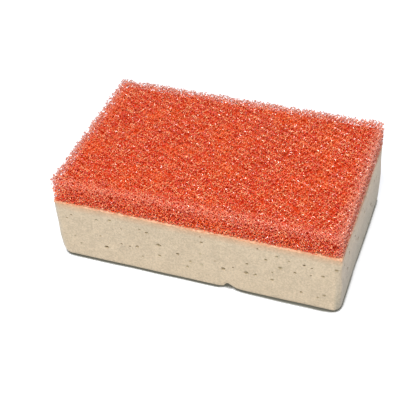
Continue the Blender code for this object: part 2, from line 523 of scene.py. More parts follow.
@dataclass(frozen=True)
class StudioPaper:
    """White studio paper, with a painted contact shadow where something lies on it."""

    tone: str = "B1B1B1"
    # Painted contact shadow: the paper turns dark where ambient occlusion is high, more so along the right
    # part of the front
    contact: str = "494840"
    contact_mm: float = 5.0
    contact_light: float = 0.47
    open_light: float = 0.56
    front_more: float = 0.09
    front_mm: tuple[float, float] = (10.0, 70.0)
    side_more: float = 0.042
    corner_mm: tuple[float, float] = (72.0, 79.0)
    glow: float = 1.54

    def material(self) -> bpy.types.Material:
        """Builds the floor's material."""
        material, tree, place = start_material("white_studio_paper")
        open_sky = add_node(
            tree, "ShaderNodeAmbientOcclusion", {"samples": 16, "Distance": self.contact_mm * MM},
        )
        parts = add_node(tree, "ShaderNodeSeparateXYZ", links={0: place})
        # The painted contact shadow widens along the right part of the front edge and narrows past the corner
        growing, ending = (
            add_node(
                tree, "ShaderNodeMapRange",
                {"From Min": start * MM, "From Max": end * MM, "To Min": first, "To Max": last},
                {"Value": parts.outputs["X"]},
            ).outputs["Result"]
            for (start, end), first, last in (
                (self.front_mm, 0.0, self.front_more), (self.corner_mm, self.front_more, self.side_more),
            )
        )
        more = add_node(tree, "ShaderNodeMath", {"operation": "MINIMUM"}, {0: growing, 1: ending})
        light = add_node(
            tree, "ShaderNodeMath", {"operation": "SUBTRACT"},
            {0: open_sky.outputs["AO"], 1: more.outputs["Value"]},
        )
        tone = ramp(
            tree, light.outputs["Value"],
            [(self.contact_light, self.contact), (self.open_light, self.tone)],
        )
        add_surface(
            tree, {"Roughness": 0.9, "Specular IOR Level": 0.1, "Emission Strength": self.glow},
            {"Base Color": tone, "Emission Color": tone},
        )
        return material


def corners(node: Node) -> tuple[np.ndarray, np.ndarray]:
    """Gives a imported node's lowest and highest corners as arrays."""
    low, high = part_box(node.value)
    return np.array(low), np.array(high)


def halves(low: np.ndarray, high: np.ndarray) -> tuple[np.ndarray, np.ndarray]:
    """Gives half the size and the middle of a box in X and Y."""
    return (high - low)[:2] / 2, (low + high)[:2] / 2


def deselect() -> None:
    if bpy.context.object and bpy.context.object.mode != "OBJECT":
        bpy.ops.object.mode_set(mode="OBJECT")
    bpy.ops.object.select_all(action="DESELECT")


def activate(obj: bpy.types.Object) -> None:
    """Makes an object the one that operators act on."""
    deselect()
    obj.select_set(True)
    bpy.context.view_layer.objects.active = obj


def apply_modifier(obj: bpy.types.Object, kind: str, **settings: object) -> None:
    """Adds a modifier, sets it and applies it.

    Args:
        obj: The object to change.
        kind: The modifier's type name.
        settings: The modifier's own settings.
    """
    activate(obj)
    modifier = obj.modifiers.new(kind.lower(), kind)
    for name, value in settings.items():
        setattr(modifier, name, value)
    bpy.ops.object.modifier_apply(modifier=modifier.name)


def primitive_box(name: str, low: np.ndarray, high: np.ndarray) -> bpy.types.Object:
    """Adds a cube primitive that fills a box, with its place and size applied.

    Args:
        name: The object's name.
        low: The box's lowest corner.
        high: The box's highest corner.

    Returns:
        The new object, at the origin and unscaled.
    """
    deselect()
    bpy.ops.mesh.primitive_cube_add(size=1, location=(low + high) / 2, scale=high - low)
    obj = bpy.context.object
    obj.name = name
    obj.data.name = name
    bpy.ops.object.transform_apply(location=True, rotation=True, scale=True)
    return obj


def mesh_object(name: str, points: np.ndarray, triangles: np.ndarray) -> bpy.types.Object:
    """Makes an object from arrays of points and triangles.

    Args:
        name: The object's name.
        points: One row for each point, in metres.
        triangles: Three point numbers for each triangle, anticlockwise from outside.

    Returns:
        The new object, linked to the scene.
    """
    mesh = bpy.data.meshes.new(name)
    mesh.vertices.add(len(points))
    mesh.vertices.foreach_set("co", points.astype(np.float32).ravel())
    mesh.loops.add(triangles.size)
    mesh.loops.foreach_set("vertex_index", triangles.astype(np.int32).ravel())
    mesh.polygons.add(len(triangles))
    mesh.polygons.foreach_set("loop_start", np.arange(0, triangles.size, 3, dtype=np.int32))
    mesh.update(calc_edges=True)
    obj = bpy.data.objects.new(name, mesh)
    bpy.context.scene.collection.objects.link(obj)
    return obj


def vertex_places(obj: bpy.types.Object) -> np.ndarray:
    """Gives the places of an object's vertices, one row for each."""
    places = np.empty(len(obj.data.vertices) * 3)
    obj.data.vertices.foreach_get("co", places)
    return places.reshape(-1, 3)


def move_vertices(obj: bpy.types.Object, places: np.ndarray) -> None:
    """Puts an object's vertices at new places."""
    obj.data.vertices.foreach_set("co", places.ravel())
    obj.data.update()


def extrude_closed(obj: bpy.types.Object, run: tuple[float, float, float]) -> None:
    """Draws a flat face out to a closed solid.

    Args:
        obj: The object, which is that face alone.
        run: How far to draw it out along X, Y and Z.
    """
    activate(obj)
    bpy.ops.object.mode_set(mode="EDIT")
    bpy.ops.mesh.select_all(action="SELECT")
    bpy.ops.mesh.extrude_region_move(TRANSFORM_OT_translate={"value": run})
    bpy.ops.mesh.select_all(action="SELECT")
    bpy.ops.mesh.normals_make_consistent(inside=False)
    bpy.ops.object.mode_set(mode="OBJECT")


def rounding(out: np.ndarray) -> np.ndarray:
    """Gives how far points are drawn in where a square corner turns round, with no points lost.

    Args:
        out: Two distances beyond the lines through the round's centre, not under zero, for each point.

    Returns:
        Two distances for each point, both 0 where it lies beside the corner.
    """
    length = np.hypot(out[:, 0], out[:, 1])
    share = np.where(length > 0, out.max(axis=1) / np.maximum(length, 1e-12), 1.0)
    return out * (1 - share)[:, None]


def finish_piece(
    obj: bpy.types.Object, material: bpy.types.Material, node: Node,
) -> None:
    """Gives a piece its material and its place in the frame.

    Args:
        obj: The finished piece.
        material: Its one material.
        node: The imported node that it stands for.
    """
    obj.data.materials.clear()
    obj.data.materials.append(material)
    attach(obj, BODY)
    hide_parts(node.value)


@dataclass(frozen=True)
class GrooveShape:
    """One groove in the underside: how deep it is and how far each lip reaches from its cusp."""

    depth: float
    near_lip: float
    far_lip: float
    power: float = 1.8
    steps: int = 12
    sink: float = 0.2 * MM
    margin: float = 4 * MM

    def lip(self, reach: float, side: int) -> list[tuple[float, float]]:
        """Gives the points of one lip, from the cusp to just below the underside.

        Args:
            reach: How far the lip reaches from the cusp.
            side: -1 for the near lip and 1 for the far one.

        Returns:
            Places across the groove and heights.
        """
        shares = [step / self.steps for step in range(self.steps + 1)]
        return [
            (side * reach * share, (self.depth + self.sink) * (1 - share) ** self.power - self.sink)
            for share in shares
        ]

    def outline(self) -> list[tuple[float, float]]:
        """Gives the closed section of the cutter."""
        near = self.lip(self.near_lip, -1)
        far = self.lip(self.far_lip, 1)
        return near[::-1] + far[1:] + [(self.far_lip, -self.margin), (-self.near_lip, -self.margin)]


@dataclass
class FoamBlock:
    """The cream foam block: rounded foot, two crossing grooves underneath and scattered open pores."""

    crisp_heights: tuple[float, ...] = (2 * MM, 10 * MM, 40 * MM)
    crisp_radii: tuple[float, ...] = (4.5 * MM, 1.9 * MM, 1.5 * MM)
    worn_heights: tuple[float, ...] = (0.0, 7 * MM, 13 * MM, 40 * MM)
    worn_radii: tuple[float, ...] = (6.5 * MM, 5.2 * MM, 4.5 * MM, 4.2 * MM)
    seam_fill: float = 0.1 * MM
    flare_heights: tuple[float, float] = (10 * MM, 40 * MM)
    flare: tuple[float, float] = (0.0, 0.6 * MM)
    left_flare: tuple[float, float] = (0.75 * MM, 1.6 * MM)
    right_flare: tuple[float, float] = (1.0 * MM, 0.6 * MM)
    front_foot: tuple[float, float] = (3.4 * MM, 2.6 * MM)
    right_foot: tuple[float, float] = (3.6 * MM, 2.9 * MM)
    right_foot_change: tuple[float, float] = (-0.05, 0.1)
    left_foot: float = 6.0 * MM
    back_foot: float = 3.6 * MM
    cross_groove_x: float = 19.0 * MM
    cross_groove: GrooveShape = GrooveShape(depth=4.9 * MM, near_lip=6 * MM, far_lip=12 * MM)
    long_groove_y: float = -12.5 * MM
    long_groove: GrooveShape = GrooveShape(depth=2.2 * MM, near_lip=14 * MM, far_lip=4 * MM)
    voxel: float = 1.05 * MM
    sag: float = 0.22 * MM
    sag_waves: int = 10
    sag_wave: float = 38 * MM
    still_foot: float = 6 * MM
    soft_angle_deg: float = 38
    pore_spacing: float = 12.5 * MM
    pore_inset: float = 2.5 * MM
    pore_gap: float = 4 * MM
    pore_radii: tuple[float, ...] = (1.15 * MM, 0.82 * MM, 0.55 * MM)
    pore_odds: tuple[float, ...] = (0.12, 0.40, 0.48)
    radius_spread: tuple[float, float] = (0.9, 1.1)
    pore_stretch: tuple[tuple[float, float], ...] = ((1.1, 1.4), (0.85, 1.05), (0.8, 1.05))
    pore_lumps: tuple[float, float] = (0.88, 1.1)
    pore_reach: float = 1.7
    full_depth: float = 0.6
    seed: int = 11

    def __post_init__(self) -> None:
        """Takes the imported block's box, and its half size and middle as seen from above."""
        self.low, self.high = corners(Node.BLOCK)
        self.half, self.middle = halves(self.low, self.high)

    def shaped_box(self) -> bpy.types.Object:
        """Makes the square block that the rest is cut from."""
        return primitive_box("foam_block", self.low, self.high + (0, 0, self.seam_fill))

    def upright_radii(self, points: np.ndarray) -> np.ndarray:
        """Gives the radius of the nearest upright corner, the front left one rounded the most by wear."""
        up = points[:, 2] - self.low[2]
        front_left = (points[:, :2] < self.middle).all(axis=1)
        wear_and_glint = np.interp(up, self.worn_heights, self.worn_radii)
        crisp = np.interp(up, self.crisp_heights, self.crisp_radii)
        return np.where(front_left, wear_and_glint, crisp)

    def round_uprights(self, points: np.ndarray) -> np.ndarray:
        """Rounds the upright corners of the square block, more towards the foot."""
        away = points[:, :2] - self.middle
        out = (np.abs(away) - self.half + self.upright_radii(points)[:, None]).clip(0)
        moved = points.copy()
        moved[:, :2] -= np.sign(away) * rounding(out)
        return moved

    def outline(self, points: np.ndarray) -> tuple[np.ndarray, np.ndarray]:
        """Gives how far points lie inside the rounded outline at their height, and the way out of it.

        Args:
            points: Points of the block, with its upright corners rounded.

        Returns:
            One distance and one direction in X and Y for each point.
        """
        away = points[:, :2] - self.middle
        radius = self.upright_radii(points)
        zone = np.abs(away) - self.half + radius[:, None]
        at_corner = (zone > 0).all(axis=1)
        length = np.hypot(zone[:, 0], zone[:, 1])
        side = np.argmax(np.abs(away) - self.half, axis=1)
        way = np.zeros_like(away)
        way[np.arange(len(way)), side] = 1
        way[at_corner] = zone[at_corner] / length[at_corner, None]
        inside = np.where(at_corner, radius - length, (self.half - np.abs(away)).min(axis=1))
        return inside.clip(0), way * np.sign(away)

    def foot_radii(self, points: np.ndarray, way: np.ndarray) -> np.ndarray:
        """Gives the radius that the foot has worn to beside each point.

        Args:
            points: Points of the block.
            way: The way out of the block in X and Y at each.

        Returns:
            One radius for each point.
        """
        size = self.high - self.low
        along = ((points[:, :2] - self.low[:2]) / size[:2]).clip(0, 1)
        front = np.interp(along[:, 0], (0, 1), self.front_foot)
        step = (self.long_groove_y - self.low[1]) / size[1]
        right = np.interp(along[:, 1], step + np.array(self.right_foot_change), self.right_foot)
        x_side = np.where(points[:, 0] > 0, right, self.left_foot)
        y_side = np.where(points[:, 1] < 0, front, self.back_foot)
        return way[:, 0] ** 2 * x_side + way[:, 1] ** 2 * y_side

    def round_foot(self, points: np.ndarray) -> np.ndarray:
        """Rounds the foot of a block with round corners, by a radius that changes from side to side."""
        inside, way = self.outline(points)
        radius = self.foot_radii(points, way)
        shrink = rounding(np.stack([radius - inside, radius - (points[:, 2] - self.low[2])], axis=1).clip(0))
        moved = points.copy()
        moved[:, :2] -= way * shrink[:, :1]
        moved[:, 2] += shrink[:, 1]
        return moved

    def flare_out(self, points: np.ndarray) -> np.ndarray:
        """Brings the sides out towards the seam, where they are flush with the pad."""
        up = points[:, 2] - self.low[2]
        flat = (points[:, :2] - self.middle) / self.half
        left = np.interp(up, self.flare_heights, self.left_flare)
        right = np.interp(up, self.flare_heights, self.right_flare)
        moved = points.copy()
        moved[:, 0] += flat[:, 0] * np.where(flat[:, 0] < 0, left, right)
        moved[:, 1] += flat[:, 1] * np.interp(up, self.flare_heights, self.flare)
        return moved

    def groove(self, name: str, shape: GrooveShape, run: float) -> bpy.types.Object:
        """Makes the bar that cuts one groove, with its section in X and Z and its run along Y.

        Args:
            name: The cutter's name.
            shape: The groove's section.
            run: The bar's length.

        Returns:
            The cutter, centred on the origin.
        """
        outline = shape.outline()
        mesh = bpy.data.meshes.new(name)
        mesh.from_pydata([(x, -run / 2, z) for x, z in outline], [], [list(range(len(outline)))])
        cutter = bpy.data.objects.new(name, mesh)
        bpy.context.scene.collection.objects.link(cutter)
        extrude_closed(cutter, (0, run, 0))
        return cutter

    def cut(self, block: bpy.types.Object, cutter: bpy.types.Object) -> None:
        """Cuts the block with a cutter, which is then removed."""
        apply_modifier(block, "BOOLEAN", operation="DIFFERENCE", object=cutter)
        bpy.data.objects.remove(cutter)

    def cut_grooves(self, block: bpy.types.Object) -> None:
        """Cuts both grooves into the underside."""
        run = 2 * (self.high - self.low).max()
        across = self.groove("cross_groove", self.cross_groove, run)
        across.location.x = self.cross_groove_x
        self.cut(block, across)
        along = self.groove("long_groove", self.long_groove, run)
        along.rotation_euler.z = math.pi / 2
        along.location.y = self.long_groove_y
        self.cut(block, along)

    def pore_places(self, rng: np.random.Generator) -> list[tuple[Vector, Vector, float]]:
        """Places the front pores, and scatters others over the other three sides and the underside.

        Args:
            rng: The source of random numbers.

        Returns:
            Places on the faces, the faces' outward normals and the pores' radii.
        """
        low, high = self.low, self.high
        found = [
            (Vector((low[0] + x * MM, low[1], low[2] + z * MM)), Vector((0, -1, 0)), radius * MM)
            for radius, places in FRONT_PORES.items()
            for x, z in places
        ]
        sides = [(0, (-1, 0, 0)), (0, (1, 0, 0)), (1, (0, 1, 0)), (2, (0, 0, -1))]
        for axis, normal in sides:
            face_low, face_high = low.copy(), high.copy()
            face_low[axis] = face_high[axis] = high[axis] if sum(normal) > 0 else low[axis]
            spans = [s for i, s in enumerate(high - low) if i != axis]
            count = int(spans[0] * spans[1] / self.pore_spacing**2)
            inset = np.where(face_low == face_high, 0, self.pore_inset)
            for place in rng.uniform(face_low + inset, face_high - inset, (count, 3)):
                if all((Vector(place) - other).length > self.pore_gap for other, *_ in found):
                    radius = rng.choice(self.pore_radii, p=self.pore_odds) * rng.uniform(*self.radius_spread)
                    found.append((Vector(place), Vector(normal), radius))
        return found

    def cut_pores(self, block: bpy.types.Object) -> None:
        """Cuts the larger pores into the skin, each a ball drawn out of round."""
        rng = np.random.default_rng(self.seed)
        deselect()
        bpy.ops.mesh.primitive_ico_sphere_add(subdivisions=2, radius=1.0)
        ball = bpy.context.object
        shape = vertex_places(ball)
        count = len(shape)
        faces = np.array([list(p.vertices) for p in ball.data.polygons])
        bpy.data.objects.remove(ball)
        points, triangles = [], []
        for place, normal, radius in self.pore_places(rng):
            stretch = np.array([rng.uniform(*span) for span in self.pore_stretch])
            lumps = shape * rng.uniform(*self.pore_lumps, (count, 1)) * stretch * radius
            turn = normal.to_track_quat("Z", "Y").to_matrix()
            triangles.append(faces + count * len(points))
            points.append(lumps @ np.array(turn).T + np.array(place))
        places = self.flare_out(np.concatenate(points))
        self.cut(block, mesh_object("pore_cutter", places, np.concatenate(triangles)))
        self.mark_pores(block)

    def mark_pores(self, block: bpy.types.Object) -> None:
        """Stores how deep in a pore each point of the block lies, from 0 at the skin to 1, for the painted
        shade in the pores.
        """
        points = vertex_places(block)
        depths = np.zeros(len(points))
        for place, normal, radius in self.pore_places(np.random.default_rng(self.seed)):
            from_mouth = points - self.flare_out(np.array([place]))
            near = np.linalg.norm(from_mouth, axis=1) < self.pore_reach * radius
            depth = -(from_mouth @ np.array(normal)) / (self.full_depth * radius)
            depths[near] = np.maximum(depths[near], depth[near].clip(0, 1))
        stored = block.data.attributes.new(PORE_DEPTH, "FLOAT", "POINT")
        stored.data.foreach_set("value", depths.astype(np.float32))

    def soften(self, block: bpy.types.Object) -> None:
        """Gives the faces the slight unevenness of cut foam, and the cut edges a soft round."""
        apply_modifier(block, "REMESH", mode="VOXEL", voxel_size=self.voxel, adaptivity=0.0)
        apply_modifier(block, "SMOOTH", factor=0.5, iterations=2)
        rng = np.random.default_rng(self.seed)
        points = self.flare_out(self.round_foot(self.round_uprights(vertex_places(block))))
        rise = np.clip((points[:, 2] - self.low[2]) / self.still_foot, 0, 1)
        for _ in range(self.sag_waves):
            wave = rng.normal(0, 2 * math.pi / self.sag_wave, 3)
            push = rng.normal(0, self.sag / 3, 3)
            push[2] = 0
            points += np.outer(rise * np.sin(points @ wave + rng.uniform(0, 2 * math.pi)), push)
        move_vertices(block, points)

    def build(self) -> bpy.types.Object:
        """Models the block and dresses it."""
        block = self.shaped_box()
        self.cut_grooves(block)
        self.soften(block)
        self.cut_pores(block)
        activate(block)
        bpy.ops.object.shade_smooth_by_angle(angle=math.radians(self.soft_angle_deg))
        foam = CreamFoam(seam=float(self.high[2]), end=float(self.high[0]))
        finish_piece(block, foam.material(), Node.BLOCK)
        return block


@dataclass
class GlueLine:
    """The thin line of dried glue that shows between the foams."""

    squeezed_out: float = 0.58 * MM
    ragged: float = 0.2 * MM
    sunk_in: float = 0.2 * MM
    run_down: float = 0.5 * MM
    edge_points: int = 560
    seed: int = 3

    def strip(self) -> bpy.types.Object:
        """Makes the film as a thin slab, with a point every millimetre or two along its edge."""
        low, high = corners(Node.GLUE)
        _, block_high = corners(Node.BLOCK)
        pad_low, _ = corners(Node.PAD)
        top = pad_low[2] - self.sunk_in
        deselect()
        bpy.ops.mesh.primitive_circle_add(vertices=self.edge_points, radius=1, fill_type="NGON")
        glue = bpy.context.object
        glue.name = "seam_glue"
        reach = (high - low)[:2] / 2 + self.squeezed_out
        for vertex in glue.data.vertices:
            x, y, _ = vertex.co / max(abs(vertex.co.x), abs(vertex.co.y))
            vertex.co = (x * reach[0], y * reach[1], top)
        extrude_closed(glue, (0, 0, block_high[2] - top))
        return glue

    def build(self) -> bpy.types.Object:
        """Models the glue with a slightly ragged edge and dresses it."""
        glue = self.strip()
        low, high = corners(Node.GLUE)
        middle = (low + high) / 2
        rng = np.random.default_rng(self.seed)
        for vertex in glue.data.vertices:
            outward = Vector((vertex.co.x - middle[0], vertex.co.y - middle[1], 0)).normalized()
            vertex.co += outward * rng.uniform(-self.ragged, self.ragged)
            if vertex.co.z < middle[2]:
                vertex.co.z -= rng.uniform(0, self.run_down)
        finish_piece(glue, DriedGlue().material(), Node.GLUE)
        return glue


@dataclass
class FoamCells:
    """The cells of a random open-cell foam near the open faces of a box.

    Cell centres are a jittered and turned body-centred lattice. Each group of four neighbouring
    centres with an empty sphere through them gives one node of the foam, where four struts meet.
    """

    low: np.ndarray
    high: np.ndarray
    cell: float = 2.42 * MM
    top_depth: float = 2.0 * MM
    side_depth: float = 2.8 * MM
    jitter: float = 0.14
    turn_deg: tuple[float, float, float] = (31, 17, 23)
    seed: int = 5

    # The three windows round the strut that leaves a node away from each of its four centres
    RING = np.array([[3, 4, 5], [1, 2, 5], [0, 2, 4], [0, 1, 3]])
    # The three windows of each of the four cells round a node
    CELL_WINDOWS = np.array([[0, 1, 2], [0, 3, 4], [1, 3, 5], [2, 4, 5]])
    PAIRS = np.array([[0, 1], [0, 2], [0, 3], [1, 2], [1, 3], [2, 3]])

    def is_near(self, points: np.ndarray, margin: float = 0.0) -> np.ndarray:
        """Tells which points lie within the depth to model below the top or in from a side.

        Args:
            points: The points.
            margin: Added to both depths.

        Returns:
            True or False for each point.
        """
        sides = np.minimum(points[:, :2] - self.low[:2], self.high[:2] - points[:, :2]).min(axis=1)
        below = self.high[2] - points[:, 2]
        return (sides < self.side_depth + margin) | (below < self.top_depth + margin)

    def lattice(self, rng: np.random.Generator) -> tuple[np.ndarray, np.ndarray, int]:
        """Lays out the cell centres.

        Args:
            rng: The source of random numbers.

        Returns:
            Whole-number lattice places, the jittered centres, and the largest lattice number.
        """
        half = self.cell / 2
        reach = np.linalg.norm(self.high - self.low) / 2 + 3 * self.cell
        most = 2 * math.ceil(reach / half / 2)
        axis = np.arange(-most, most + 1)
        grid = np.stack(np.meshgrid(axis, axis, axis, indexing="ij"), axis=-1).reshape(-1, 3)
        grid = grid[((grid[:, 0] - grid[:, 1]) % 2 == 0) & ((grid[:, 1] - grid[:, 2]) % 2 == 0)]
        turn = Quaternion()
        for direction, angle in zip(((1, 0, 0), (0, 1, 0), (0, 0, 1)), self.turn_deg):
            turn = Quaternion(direction, math.radians(angle)) @ turn
        points = (self.low + self.high) / 2 + grid @ np.array(turn.to_matrix()).T * half
        margin = 2.3 * self.cell
        near = ((points > self.low - margin) & (points < self.high + margin)).all(axis=1)
        near &= self.is_near(points, margin)
        grid, points = grid[near], points[near]
        shift = rng.normal(0, self.jitter * self.cell, points.shape)
        return grid, points + shift.clip(-2 * self.jitter * self.cell, 2 * self.jitter * self.cell), most

    @staticmethod
    def offsets(most_square: int) -> set[tuple[int, int, int]]:
        """Lists the lattice steps to neighbours, up to a squared length."""
        steps = itertools.product(range(-4, 5), repeat=3)
        return {
            s for s in steps
            if len({c % 2 for c in s}) == 1 and 0 < sum(c * c for c in s) <= most_square
        }

    def nodes(self, rng: np.random.Generator) -> tuple[np.ndarray, np.ndarray, np.ndarray]:
        """Finds every group of four centres whose sphere holds no other centre.

        Args:
            rng: The source of random numbers.

        Returns:
            The cell centres, four centre numbers for each node in rising order, and the nodes' places.
        """
        grid, points, most = self.lattice(rng)
        side = 2 * most + 9
        place = ((grid[:, 0] + most + 4) * side + (grid[:, 1] + most + 4)) * side + grid[:, 2] + most + 4
        order = np.argsort(place)
        points, place = points[order], place[order]
        index = np.full(side**3, -1, np.int64)
        index[place] = np.arange(len(place))
        close, all_steps = self.offsets(8), sorted(self.offsets(12))

        def stride(step: tuple[int, int, int]) -> int:
            return (step[0] * side + step[1]) * side + step[2]

        neighbour = {step: index[place + stride(step)] for step in all_steps}
        ahead = sorted(step for step in close if stride(step) > 0)
        groups, places = [], []
        for trio in itertools.combinations(ahead, 3):
            if any(tuple(np.subtract(a, b)) not in close for a, b in itertools.combinations(trio, 2)):
                continue
            others = np.stack([neighbour[step] for step in trio])
            first = np.nonzero((others >= 0).all(axis=0))[0]
            group = np.concatenate([first[None], others[:, first]])
            u, v, w = (points[group[i]] - points[first] for i in (1, 2, 3))
            vw = np.cross(v, w)
            volume = 2 * (u * vw).sum(axis=1)
            volume[np.abs(volume) < 1e-6 * self.cell**3] = 1e-30
            sized = [(x * x).sum(axis=1)[:, None] for x in (u, v, w)]
            away = (sized[0] * vw + sized[1] * np.cross(w, u) + sized[2] * np.cross(u, v)) / volume[:, None]
            square = (away * away).sum(axis=1)
            keep = square < (0.95 * self.cell) ** 2
            group, square, centre = group[:, keep], square[keep], (points[first] + away)[keep]
            for step in all_steps:
                other = neighbour[step][group[0]]
                gap = points[other] - centre
                inside = (other >= 0) & ((gap * gap).sum(axis=1) < square * (1 - 1e-7))
                keep = ~(inside & (other != group[1:]).all(axis=0))
                group, square, centre = group[:, keep], square[keep], centre[keep]
            groups.append(np.sort(group, axis=0).T)
            places.append(centre)
        return points, np.concatenate(groups), np.concatenate(places)


@dataclass
class StrutNetwork:
    """Closed skins of the struts of an open-cell foam, cut off flat at the faces of a box."""

    cells: FoamCells
    strut: float = 0.26 * MM
    relax_steps: int = 2
    pieces: int = 5
    ragged: float = 0.25 * MM
    left_wear: float = 0.58
    far_wear: float = 0.2
    wear_depth: float = 3.0 * MM
    map_reach: float = 1.45 * MM
    map_skew: float = 0.3
    map_fill: float = 0.78
    strut_spread: tuple[float, float] = (0.8, 1.25)
    window_share: float = 0.55
    split_share: float = 0.5
    worn_share: float = 0.6
    cut_shares: tuple[float, float] = (0.05, 0.98)

    def links(self, groups: np.ndarray) -> np.ndarray:
        """Finds the node at the other end of each strut.

        Args:
            groups: Four rising centre numbers for each node.

        Returns:
            For each node and each of its four struts, 4 * node + strut at the other end, or -1.
        """
        trios = groups[:, [[1, 2, 3], [0, 2, 3], [0, 1, 3], [0, 1, 2]]].reshape(-1, 3)
        total = groups.max() + 1
        code = (trios[:, 0] * total + trios[:, 1]) * total + trios[:, 2]
        order = np.argsort(code, kind="stable")
        same = np.nonzero(code[order][1:] == code[order][:-1])[0]
        other = np.full(len(code), -1, np.int64)
        other[order[same]] = order[same + 1]
        other[order[same + 1]] = order[same]
        return other.reshape(-1, 4)

    def relaxed(self, places: np.ndarray, other: np.ndarray) -> np.ndarray:
        """Evens out the struts' lengths, as surface tension does when a foam sets."""
        whole = (other >= 0).all(axis=1)
        for _ in range(self.relax_steps):
            mean = places[other[whole] // 4].mean(axis=1)
            places = places.copy()
            places[whole] = 0.5 * places[whole] + 0.5 * mean
        return places

    def rims(self, groups: np.ndarray, places: np.ndarray, rng: np.random.Generator) -> np.ndarray:
        """Places the six corners of each node, one towards the middle of each window round it.

        Args:
            groups: Four rising centre numbers for each node.
            places: The nodes' places.
            rng: The source of random numbers.

        Returns:
            Six points for each node.
        """
        total = groups.max() + 1
        pairs = groups[:, FoamCells.PAIRS]
        code = (pairs[..., 0] * total + pairs[..., 1]).ravel()
        _, window, count = np.unique(code, return_inverse=True, return_counts=True)
        window = window.ravel()
        spread = np.repeat(places, 6, axis=0)
        middle = np.stack(
            [np.bincount(window, weights=spread[:, i]) for i in range(3)], axis=1,
        ) / count[:, None]
        away = middle[window] - spread
        length = np.linalg.norm(away, axis=1, keepdims=True)
        thickness = rng.uniform(*self.strut_spread, (len(places), 1))
        reach = np.minimum(self.strut * np.repeat(thickness, 6, axis=0), self.window_share * length)
        return (spread + away / np.maximum(length, 1e-9) * reach).reshape(-1, 6, 3)

    def exit_share(self, start: np.ndarray, end: np.ndarray, rng: np.random.Generator) -> np.ndarray:
        """Gives how far along each strut the box's cut lies, from 0 to 1."""
        step = end - start
        with np.errstate(divide="ignore", invalid="ignore"):
            to_high = np.where(end > self.cells.high, (self.cells.high - start) / step, 1.0)
            to_low = np.where(end < self.cells.low, (self.cells.low - start) / step, 1.0)
        share = np.minimum(to_high.min(axis=1), to_low.min(axis=1))
        length = np.linalg.norm(step, axis=1)
        share = share + rng.uniform(-self.ragged, self.ragged, len(share)) / length
        return share.clip(*self.cut_shares)

    def worn_off(self, places: np.ndarray, rng: np.random.Generator) -> np.ndarray:
        """Picks the nodes that wear has taken off the ends and the back, the left end the most."""
        from_left = places[:, 0] - self.cells.low[0]
        from_far = (self.cells.high - places)[:, :2].min(axis=1)
        chance = np.maximum(
            self.left_wear * (1 - from_left / self.wear_depth),
            self.far_wear * (1 - from_far / self.wear_depth),
        )
        return rng.random(len(places)) < chance

    def patches(self, places: np.ndarray, owners: np.ndarray, points: np.ndarray) -> np.ndarray:
        """Maps each node and its struts to a small square of their own, laid out as seen from above.

        Args:
            places: The nodes of one piece.
            owners: The node that each triangle belongs to.
            points: The three corners of each triangle.

        Returns:
            A place on the map for each corner.
        """
        row_length = math.ceil(math.sqrt(len(places)))
        by_depth = np.argsort(places[:, 1])
        cell = np.empty((len(places), 2))
        for row, start in enumerate(range(0, len(places), row_length)):
            members = by_depth[start : start + row_length]
            members = members[np.argsort(places[members, 0])]
            cell[members] = np.stack([np.arange(len(members)), np.full(len(members), row)], axis=1)
        away = points - places[owners][:, None]
        flat = away[..., :2] + self.map_skew * away[..., 2:]
        spread = (flat / (2 * self.map_reach)).clip(-0.5, 0.5) * self.map_fill
        return (cell[owners][:, None] + 0.5 + spread) / row_length

    def build(self) -> list[tuple[np.ndarray, np.ndarray, np.ndarray]]:
        """Builds the skins.

        Returns:
            Points, triangles and map places for each piece.
        """
        rng = np.random.default_rng(self.cells.seed)
        centres, groups, places = self.cells.nodes(rng)
        other = self.links(groups)
        places = self.relaxed(places, other)
        rims = self.rims(groups, places, rng)
        inside = ((places > self.cells.low) & (places < self.cells.high)).all(axis=1)
        kept = inside & self.cells.is_near(places) & ~self.worn_off(places, rng)
        kept &= (kept[other // 4] & (other >= 0)).sum(axis=1) >= 2
        edges = np.quantile(places[kept, 0], np.linspace(0, 1, self.pieces + 1)[1:-1])
        part = np.where(kept, np.searchsorted(edges, places[:, 0]), -1)

        # Which way round the windows of a strut and of a cell run, from the order of the four centres
        a, b, c, d = (centres[groups[:, i]] for i in range(4))
        handed = np.sign((np.cross(b - a, c - a) * (d - a)).sum(axis=1))
        strut_way = handed[:, None] * np.array([-1, 1, -1, 1])
        cell_way = -strut_way

        node, leg = np.nonzero(kept[:, None] & np.ones(4, bool))
        far = other[node, leg]
        far_node, far_leg = far // 4, far % 4
        linked = far >= 0
        same = linked & (part[far_node] == part[node])
        joined = same & (node < far_node)
        split = linked & kept[far_node] & ~same
        outside = linked & ~inside[far_node]
        inward = linked & inside[far_node] & ~kept[far_node]
        stub = split | outside | inward
        bare = ~linked

        share = np.full(len(node), self.split_share)
        share[inward] = self.worn_share
        share[outside] = self.exit_share(places[node[outside]], places[far_node[outside]], rng)
        near_ring = rims[node[:, None], FoamCells.RING[leg]]
        far_ring = rims[far_node[:, None], FoamCells.RING[far_leg]]
        cut_ring = near_ring + share[:, None, None] * (far_ring - near_ring)

